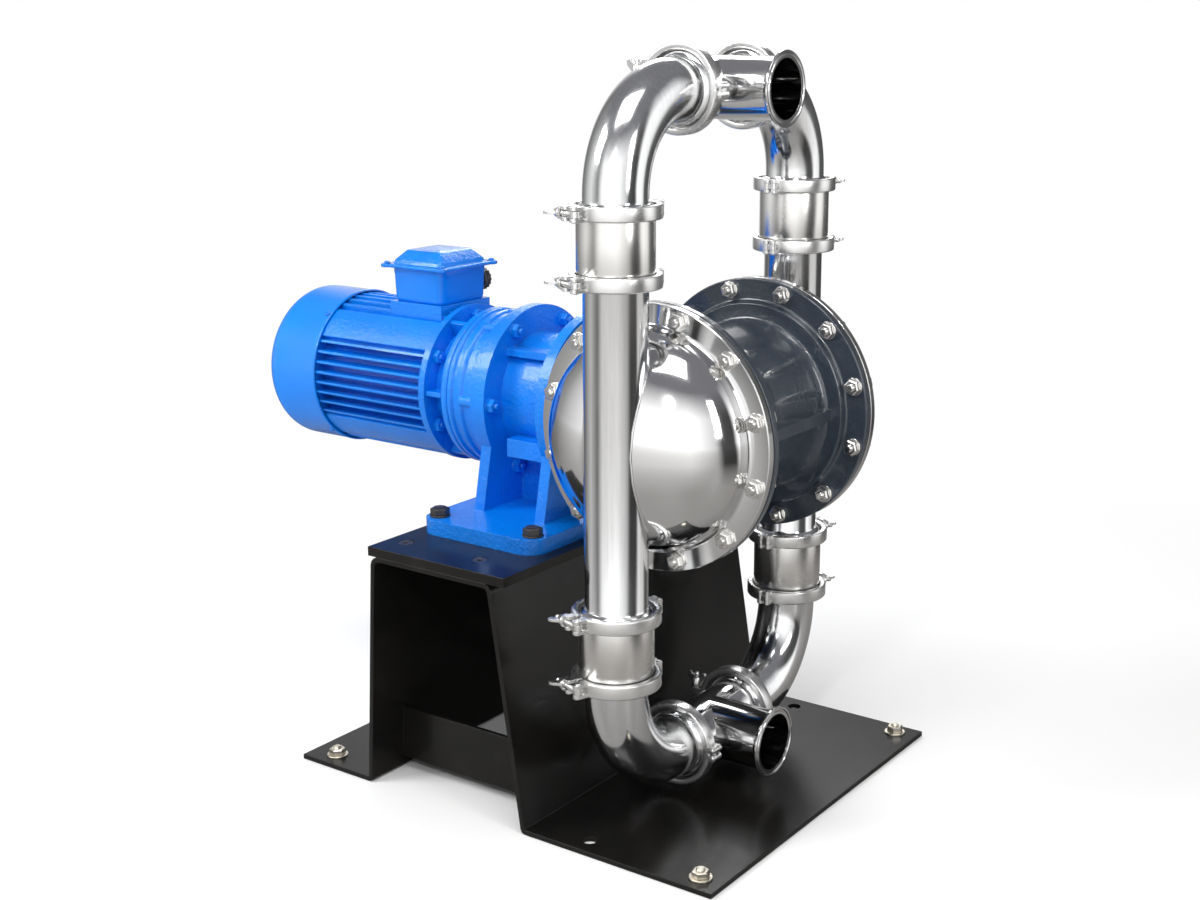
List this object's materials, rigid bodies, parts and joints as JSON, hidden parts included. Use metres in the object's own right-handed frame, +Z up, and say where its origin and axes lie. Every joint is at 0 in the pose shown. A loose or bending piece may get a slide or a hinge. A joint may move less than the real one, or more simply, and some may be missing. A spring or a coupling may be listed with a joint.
{
  "type": "electric diaphragm pump",
  "caption": "Motor-driven sanitary diaphragm pump with a cycloidal gear reducer, domed stainless chambers, clamped pipework and a bent-sheet stand.",
  "frame": {"origin": "on the floor under the point where the drive shaft axis and the diaphragm rod axis cross", "axes": "+X along the drive shaft from the motor to the ports, +Y along the diaphragm rod, +Z up"},
  "size_m": [0.894, 0.5495, 0.9439],
  "materials": {
    "black_paint": "semi-gloss black paint",
    "zinc_steel": "zinc plated",
    "black_bolt": "blackened steel",
    "blue_paint": "glossy bright blue enamel",
    "body_paint": "glossy dark blue-grey enamel",
    "polished_steel": "mirror-polished stainless steel",
    "brushed_stainless": "fine-brushed stainless steel",
    "machined_steel": "machined steel",
    "cast_iron": "as cast and machined",
    "black_rubber": "moulded rubber",
    "white_seal": "white elastomer",
    "black_plastic": "moulded plastic"
  },
  "bodies": {
    "stand": {"base_frame": "black_paint", "drive_plate": "black_paint", "plate_screws": "black_bolt", "anchor_bolts": "zinc_steel", "foot_bolts": "black_bolt", "output_housing": "blue_paint", "ring_gear_case": "blue_paint", "input_housing": "blue_paint", "reducer_bolts": "blue_paint", "shaft_bearings": "machined_steel", "motor_frame": "blue_paint", "front_shield": "blue_paint", "rear_shield": "blue_paint", "fan_cowl": "blue_paint", "stator": "cast_iron", "terminal_box": "blue_paint", "terminal_lid": "blue_paint", "lid_screws": "zinc_steel", "cable_gland": "black_plastic", "centre_body": "body_paint", "near_chamber": "polished_steel", "far_chamber": "polished_steel", "chamber_bolts": "brushed_stainless", "near_diaphragm": "black_rubber", "far_diaphragm": "black_rubber", "valve_spools": "brushed_stainless", "valve_seats": "white_seal", "pipe_elbows": "polished_steel", "pipe_tees": "polished_steel", "joint_gaskets": "white_seal", "clamp_rings": "brushed_stainless"},
    "rotor": {"rotor": "machined_steel", "eccentric_sleeve": "machined_steel", "cooling_fan": "black_plastic"},
    "disc_front": {"cycloid_disc_front": "machined_steel"},
    "disc_rear": {"cycloid_disc_rear": "machined_steel"},
    "output": {"output_shaft": "machined_steel"},
    "rod": {"diaphragm_rod": "machined_steel", "diaphragm_plates": "brushed_stainless"},
    "first_balls": {"first_stroke_balls": "white_seal"},
    "second_balls": {"second_stroke_balls": "white_seal"},
    "near_upper_elbow_latch": {"near_upper_elbow_latch": "brushed_stainless"},
    "near_upper_tube_latch": {"near_upper_tube_latch": "brushed_stainless"},
    "near_lower_tube_latch": {"near_lower_tube_latch": "brushed_stainless"},
    "near_lower_elbow_latch": {"near_lower_elbow_latch": "brushed_stainless"},
    "near_upper_tee_latch": {"near_upper_tee_latch": "brushed_stainless"},
    "near_lower_tee_latch": {"near_lower_tee_latch": "brushed_stainless"},
    "far_upper_elbow_latch": {"far_upper_elbow_latch": "brushed_stainless"},
    "far_upper_tube_latch": {"far_upper_tube_latch": "brushed_stainless"},
    "far_lower_tube_latch": {"far_lower_tube_latch": "brushed_stainless"},
    "far_lower_elbow_latch": {"far_lower_elbow_latch": "brushed_stainless"},
    "far_upper_tee_latch": {"far_upper_tee_latch": "brushed_stainless"},
    "far_lower_tee_latch": {"far_lower_tee_latch": "brushed_stainless"}
  },
  "joints": [
    {"name": "motor_spin", "type": "hinge", "parent": "stand", "child": "rotor", "pos_m": [-0.5, 0, 0.48], "axis": [1, 0, 0], "range_deg": [-990, 990]},
    {"name": "front_disc_turn", "type": "hinge", "parent": "rotor", "child": "disc_front", "pos_m": [-0.309, 0, 0.483], "axis": [1, 0, 0], "range_deg": [-1080, 1080]},
    {"name": "rear_disc_turn", "type": "hinge", "parent": "rotor", "child": "disc_rear", "pos_m": [-0.325, 0, 0.477], "axis": [1, 0, 0], "range_deg": [-1080, 1080]},
    {"name": "output_turn", "type": "hinge", "parent": "stand", "child": "output", "pos_m": [-0.2, 0, 0.48], "axis": [1, 0, 0], "range_deg": [-90, 90]},
    {"name": "rod_stroke", "type": "slide", "parent": "stand", "child": "rod", "axis": [0, 1, 0], "range_m": [-0.008, 0.008], "deforming": ["near_diaphragm", "far_diaphragm"]},
    {"name": "first_stroke_lift", "type": "slide", "parent": "stand", "child": "first_balls", "axis": [0, 0, 1], "range_m": [0, 0.012]},
    {"name": "second_stroke_lift", "type": "slide", "parent": "stand", "child": "second_balls", "axis": [0, 0, 1], "range_m": [0, 0.012]},
    {"name": "near_upper_elbow_swing", "type": "hinge", "parent": "stand", "child": "near_upper_elbow_latch", "pos_m": [-0.01087, -0.26452, 0.759], "axis": [0, 0, 1], "range_deg": [0, 100]},
    {"name": "near_upper_tube_swing", "type": "hinge", "parent": "stand", "child": "near_upper_tube_latch", "pos_m": [-0.01087, -0.26452, 0.68], "axis": [0, 0, 1], "range_deg": [0, 100]},
    {"name": "near_lower_tube_swing", "type": "hinge", "parent": "stand", "child": "near_lower_tube_latch", "pos_m": [-0.01087, -0.26452, 0.28], "axis": [0, 0, 1], "range_deg": [0, 100]},
    {"name": "near_lower_elbow_swing", "type": "hinge", "parent": "stand", "child": "near_lower_elbow_latch", "pos_m": [-0.01087, -0.26452, 0.201], "axis": [0, 0, 1], "range_deg": [0, 100]},
    {"name": "near_upper_tee_swing", "type": "hinge", "parent": "stand", "child": "near_upper_tee_latch", "pos_m": [-0.062, -0.0715, 0.879], "axis": [0, -1, 0], "range_deg": [0, 100]},
    {"name": "near_lower_tee_swing", "type": "hinge", "parent": "stand", "child": "near_lower_tee_latch", "pos_m": [-0.062, -0.0715, 0.059], "axis": [0, -1, 0], "range_deg": [0, 34]},
    {"name": "far_upper_elbow_swing", "type": "hinge", "parent": "stand", "child": "far_upper_elbow_latch", "pos_m": [-0.00883, 0.26485, 0.759], "axis": [0, 0, 1], "range_deg": [0, 100]},
    {"name": "far_upper_tube_swing", "type": "hinge", "parent": "stand", "child": "far_upper_tube_latch", "pos_m": [-0.00883, 0.26485, 0.68], "axis": [0, 0, 1], "range_deg": [0, 100]},
    {"name": "far_lower_tube_swing", "type": "hinge", "parent": "stand", "child": "far_lower_tube_latch", "pos_m": [-0.00883, 0.26485, 0.28], "axis": [0, 0, 1], "range_deg": [0, 100]},
    {"name": "far_lower_elbow_swing", "type": "hinge", "parent": "stand", "child": "far_lower_elbow_latch", "pos_m": [-0.00883, 0.26485, 0.201], "axis": [0, 0, 1], "range_deg": [0, 100]},
    {"name": "far_upper_tee_swing", "type": "hinge", "parent": "stand", "child": "far_upper_tee_latch", "pos_m": [-0.062, 0.0715, 0.879], "axis": [0, -1, 0], "range_deg": [0, 100]},
    {"name": "far_lower_tee_swing", "type": "hinge", "parent": "stand", "child": "far_lower_tee_latch", "pos_m": [-0.062, 0.0715, 0.059], "axis": [0, -1, 0], "range_deg": [0, 34]}
  ],
  "couplings": [
    {"joint": "front_disc_turn", "follows": "motor_spin", "ratio": -1.0909},
    {"joint": "rear_disc_turn", "follows": "motor_spin", "ratio": -1.0909},
    {"joint": "output_turn", "follows": "motor_spin", "ratio": -0.090909},
    {"joint": "rod_stroke", "follows": "motor_spin", "m_per_rad": 0.000462}
  ]
}
